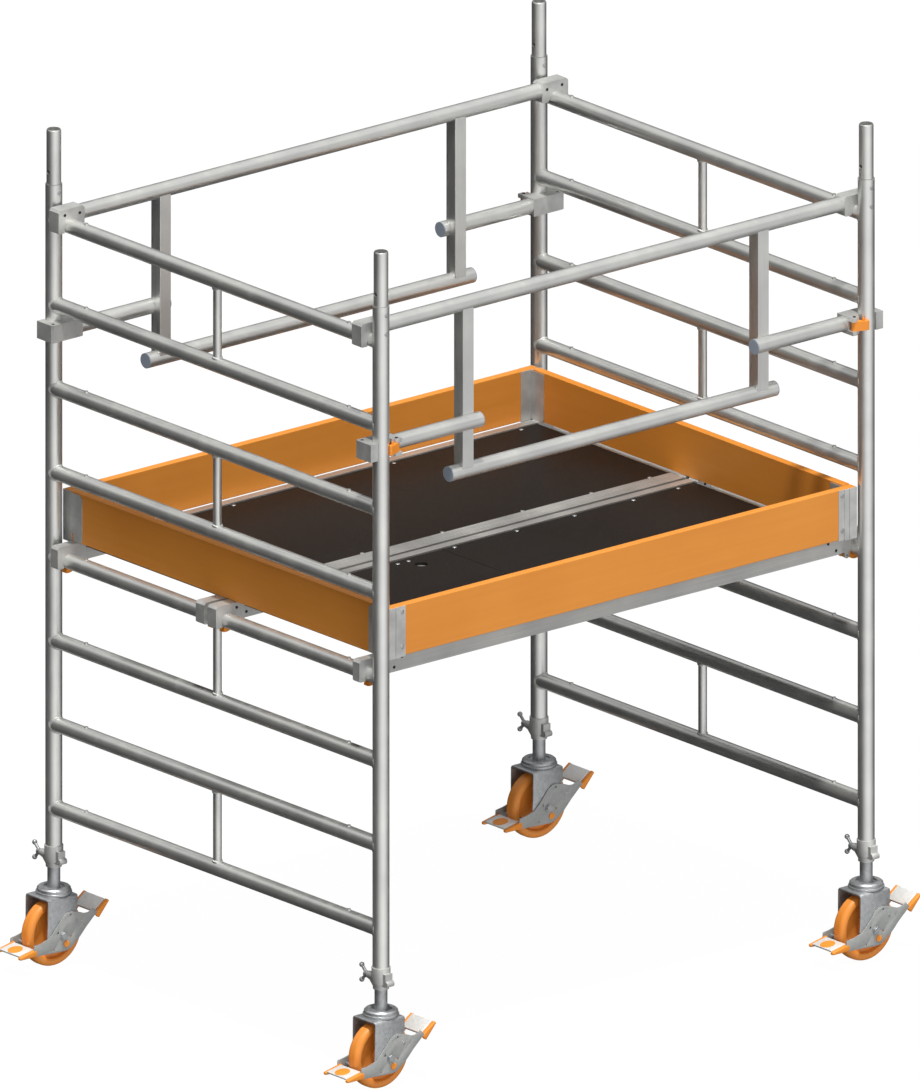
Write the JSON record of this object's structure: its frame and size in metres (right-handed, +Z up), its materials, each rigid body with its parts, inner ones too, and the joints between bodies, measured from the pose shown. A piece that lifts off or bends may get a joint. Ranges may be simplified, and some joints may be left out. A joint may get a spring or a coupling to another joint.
{
  "type": "mobile access tower section",
  "caption": "Aluminium ladder-frame tower section with a hooked-on platform and hatch, guard rails, toe boards and braked height-adjustable castors.",
  "frame": {"origin": "middle of the bay, on the floor under the wheels", "axes": "+Z up, +X along the bay from the left frame to the right frame, +Y across the frames towards the rear guard rail"},
  "size_m": [2.1251, 1.5935, 2.488],
  "materials": {
    "aluminium_tube": "drawn tube, satin, fine lengthwise lines",
    "aluminium_profile": "extruded, mill finish",
    "cast_aluminium": "die cast, fine grain",
    "zinc_steel": "zinc plated",
    "brake_steel": "pressed steel, zinc plated",
    "orange_plastic": "moulded, satin",
    "wheel_plastic": "moulded polyurethane, satin",
    "toe_board": "painted board, flat orange",
    "deck_panel": "film-faced plywood, anti-slip",
    "end_cap": "moulded, satin"
  },
  "bodies": {
    "tower": {"left_posts": "aluminium_tube", "right_posts": "aluminium_tube", "left_rungs": "aluminium_tube", "right_rungs": "aluminium_tube", "frame_struts": "aluminium_tube", "spigots": "aluminium_tube", "front_rail_tubes": "aluminium_tube", "rear_rail_tubes": "aluminium_tube", "rail_uprights": "aluminium_tube", "rail_claws": "cast_aluminium", "rail_end_caps": "end_cap", "front_deck_rails": "aluminium_profile", "rear_deck_rails": "aluminium_profile", "front_deck_panel": "deck_panel", "rear_deck_panel": "deck_panel", "hatch_hinges": "zinc_steel", "deck_hooks": "cast_aluminium", "front_toe_board": "toe_board", "rear_toe_board": "toe_board", "left_toe_board": "toe_board", "right_toe_board": "toe_board", "toe_brackets": "cast_aluminium", "rivets": "zinc_steel", "screws_and_pins": "zinc_steel", "post_clamps": "cast_aluminium"},
    "hatch": {"hatch_panel": "deck_panel", "hatch_leaves": "zinc_steel"},
    "left_front_latch_body": {"left_front_latch": "orange_plastic"},
    "right_front_latch_body": {"right_front_latch": "orange_plastic"},
    "left_rear_latch_body": {"left_rear_latch": "orange_plastic"},
    "right_rear_latch_body": {"right_rear_latch": "orange_plastic"},
    "left_catch_1_body": {"left_catch_1": "orange_plastic"},
    "left_catch_2_body": {"left_catch_2": "orange_plastic"},
    "left_catch_3_body": {"left_catch_3": "orange_plastic"},
    "left_catch_4_body": {"left_catch_4": "orange_plastic"},
    "right_catch_1_body": {"right_catch_1": "orange_plastic"},
    "right_catch_2_body": {"right_catch_2": "orange_plastic"},
    "right_catch_3_body": {"right_catch_3": "orange_plastic"},
    "right_catch_4_body": {"right_catch_4": "orange_plastic"},
    "left_front_wing_screw_body": {"left_front_wing_screw": "zinc_steel"},
    "left_front_stem_body": {"left_front_stem": "zinc_steel"},
    "left_front_fork_body": {"left_front_fork": "zinc_steel"},
    "left_front_wheel_body": {"left_front_wheel": "wheel_plastic"},
    "left_front_brake_body": {"left_front_brake": "brake_steel"},
    "right_front_wing_screw_body": {"right_front_wing_screw": "zinc_steel"},
    "right_front_stem_body": {"right_front_stem": "zinc_steel"},
    "right_front_fork_body": {"right_front_fork": "zinc_steel"},
    "right_front_wheel_body": {"right_front_wheel": "wheel_plastic"},
    "right_front_brake_body": {"right_front_brake": "brake_steel"},
    "left_rear_wing_screw_body": {"left_rear_wing_screw": "zinc_steel"},
    "left_rear_stem_body": {"left_rear_stem": "zinc_steel"},
    "left_rear_fork_body": {"left_rear_fork": "zinc_steel"},
    "left_rear_wheel_body": {"left_rear_wheel": "wheel_plastic"},
    "left_rear_brake_body": {"left_rear_brake": "brake_steel"},
    "right_rear_wing_screw_body": {"right_rear_wing_screw": "zinc_steel"},
    "right_rear_stem_body": {"right_rear_stem": "zinc_steel"},
    "right_rear_fork_body": {"right_rear_fork": "zinc_steel"},
    "right_rear_wheel_body": {"right_rear_wheel": "wheel_plastic"},
    "right_rear_brake_body": {"right_rear_brake": "brake_steel"}
  },
  "joints": [
    {"name": "left_front_height", "type": "slide", "parent": "tower", "child": "left_front_stem_body", "axis": [0, 0, -1], "range_m": [0, 0.1]},
    {"name": "left_front_swivel", "type": "hinge", "parent": "left_front_stem_body", "child": "left_front_fork_body", "pos_m": [-0.896, -0.72, 0.215], "axis": [0, 0, 1], "continuous": true},
    {"name": "left_front_roll", "type": "hinge", "parent": "left_front_fork_body", "child": "left_front_wheel_body", "pos_m": [-0.906, -0.72, 0.1], "axis": [0, 1, 0], "continuous": true},
    {"name": "left_front_brake_press", "type": "hinge", "parent": "left_front_fork_body", "child": "left_front_brake_body", "pos_m": [-0.906, -0.72, 0.1], "axis": [0, 1, 0], "range_deg": [0, 12]},
    {"name": "left_front_wing_turn", "type": "hinge", "parent": "tower", "child": "left_front_wing_screw_body", "pos_m": [-0.896, -0.72, 0.3195], "axis": [0, 1, 0], "range_deg": [0, 450]},
    {"name": "left_front_latch_swing", "type": "hinge", "parent": "tower", "child": "left_front_latch_body", "pos_m": [-0.846, -0.728, 1.897], "axis": [0, 0, 1], "range_deg": [0, 60]},
    {"name": "right_front_height", "type": "slide", "parent": "tower", "child": "right_front_stem_body", "axis": [0, 0, -1], "range_m": [0, 0.1]},
    {"name": "right_front_swivel", "type": "hinge", "parent": "right_front_stem_body", "child": "right_front_fork_body", "pos_m": [0.896, -0.72, 0.215], "axis": [0, 0, 1], "continuous": true},
    {"name": "right_front_roll", "type": "hinge", "parent": "right_front_fork_body", "child": "right_front_wheel_body", "pos_m": [0.886, -0.72, 0.1], "axis": [0, 1, 0], "continuous": true},
    {"name": "right_front_brake_press", "type": "hinge", "parent": "right_front_fork_body", "child": "right_front_brake_body", "pos_m": [0.886, -0.72, 0.1], "axis": [0, 1, 0], "range_deg": [0, 12]},
    {"name": "right_front_wing_turn", "type": "hinge", "parent": "tower", "child": "right_front_wing_screw_body", "pos_m": [0.896, -0.72, 0.3195], "axis": [0, 1, 0], "range_deg": [0, 450]},
    {"name": "right_front_latch_swing", "type": "hinge", "parent": "tower", "child": "right_front_latch_body", "pos_m": [0.846, -0.728, 1.897], "axis": [0, 0, -1], "range_deg": [0, 60]},
    {"name": "left_rear_height", "type": "slide", "parent": "tower", "child": "left_rear_stem_body", "axis": [0, 0, -1], "range_m": [0, 0.1]},
    {"name": "left_rear_swivel", "type": "hinge", "parent": "left_rear_stem_body", "child": "left_rear_fork_body", "pos_m": [-0.896, 0.72, 0.215], "axis": [0, 0, 1], "continuous": true},
    {"name": "left_rear_roll", "type": "hinge", "parent": "left_rear_fork_body", "child": "left_rear_wheel_body", "pos_m": [-0.906, 0.72, 0.1], "axis": [0, 1, 0], "continuous": true},
    {"name": "left_rear_brake_press", "type": "hinge", "parent": "left_rear_fork_body", "child": "left_rear_brake_body", "pos_m": [-0.906, 0.72, 0.1], "axis": [0, 1, 0], "range_deg": [0, 12]},
    {"name": "left_rear_wing_turn", "type": "hinge", "parent": "tower", "child": "left_rear_wing_screw_body", "pos_m": [-0.896, 0.72, 0.3195], "axis": [0, 1, 0], "range_deg": [0, 450]},
    {"name": "left_rear_latch_swing", "type": "hinge", "parent": "tower", "child": "left_rear_latch_body", "pos_m": [-0.846, 0.728, 1.897], "axis": [0, 0, -1], "range_deg": [0, 60]},
    {"name": "right_rear_height", "type": "slide", "parent": "tower", "child": "right_rear_stem_body", "axis": [0, 0, -1], "range_m": [0, 0.1]},
    {"name": "right_rear_swivel", "type": "hinge", "parent": "right_rear_stem_body", "child": "right_rear_fork_body", "pos_m": [0.896, 0.72, 0.215], "axis": [0, 0, 1], "continuous": true},
    {"name": "right_rear_roll", "type": "hinge", "parent": "right_rear_fork_body", "child": "right_rear_wheel_body", "pos_m": [0.886, 0.72, 0.1], "axis": [0, 1, 0], "continuous": true},
    {"name": "right_rear_brake_press", "type": "hinge", "parent": "right_rear_fork_body", "child": "right_rear_brake_body", "pos_m": [0.886, 0.72, 0.1], "axis": [0, 1, 0], "range_deg": [0, 12]},
    {"name": "right_rear_wing_turn", "type": "hinge", "parent": "tower", "child": "right_rear_wing_screw_body", "pos_m": [0.896, 0.72, 0.3195], "axis": [0, 1, 0], "range_deg": [0, 450]},
    {"name": "right_rear_latch_swing", "type": "hinge", "parent": "tower", "child": "right_rear_latch_body", "pos_m": [0.846, 0.728, 1.897], "axis": [0, 0, 1], "range_deg": [0, 60]},
    {"name": "left_catch_1_swing", "type": "hinge", "parent": "tower", "child": "left_catch_1_body", "pos_m": [-0.86, -0.664, 1.198], "axis": [0, -1, 0], "range_deg": [0, 60]},
    {"name": "left_catch_2_swing", "type": "hinge", "parent": "tower", "child": "left_catch_2_body", "pos_m": [-0.86, -0.029, 1.198], "axis": [0, -1, 0], "range_deg": [0, 60]},
    {"name": "left_catch_3_swing", "type": "hinge", "parent": "tower", "child": "left_catch_3_body", "pos_m": [-0.86, 0.023, 1.198], "axis": [0, -1, 0], "range_deg": [0, 60]},
    {"name": "left_catch_4_swing", "type": "hinge", "parent": "tower", "child": "left_catch_4_body", "pos_m": [-0.86, 0.664, 1.198], "axis": [0, -1, 0], "range_deg": [0, 60]},
    {"name": "right_catch_1_swing", "type": "hinge", "parent": "tower", "child": "right_catch_1_body", "pos_m": [0.86, -0.664, 1.198], "axis": [0, 1, 0], "range_deg": [0, 60]},
    {"name": "right_catch_2_swing", "type": "hinge", "parent": "tower", "child": "right_catch_2_body", "pos_m": [0.86, -0.029, 1.198], "axis": [0, 1, 0], "range_deg": [0, 60]},
    {"name": "right_catch_3_swing", "type": "hinge", "parent": "tower", "child": "right_catch_3_body", "pos_m": [0.86, 0.023, 1.198], "axis": [0, 1, 0], "range_deg": [0, 60]},
    {"name": "right_catch_4_swing", "type": "hinge", "parent": "tower", "child": "right_catch_4_body", "pos_m": [0.86, 0.664, 1.198], "axis": [0, 1, 0], "range_deg": [0, 60]},
    {"name": "hatch_swing", "type": "hinge", "parent": "tower", "child": "hatch", "pos_m": [-0.4, -0.652, 1.265], "axis": [1, 0, 0], "range_deg": [0, 88]}
  ]
}
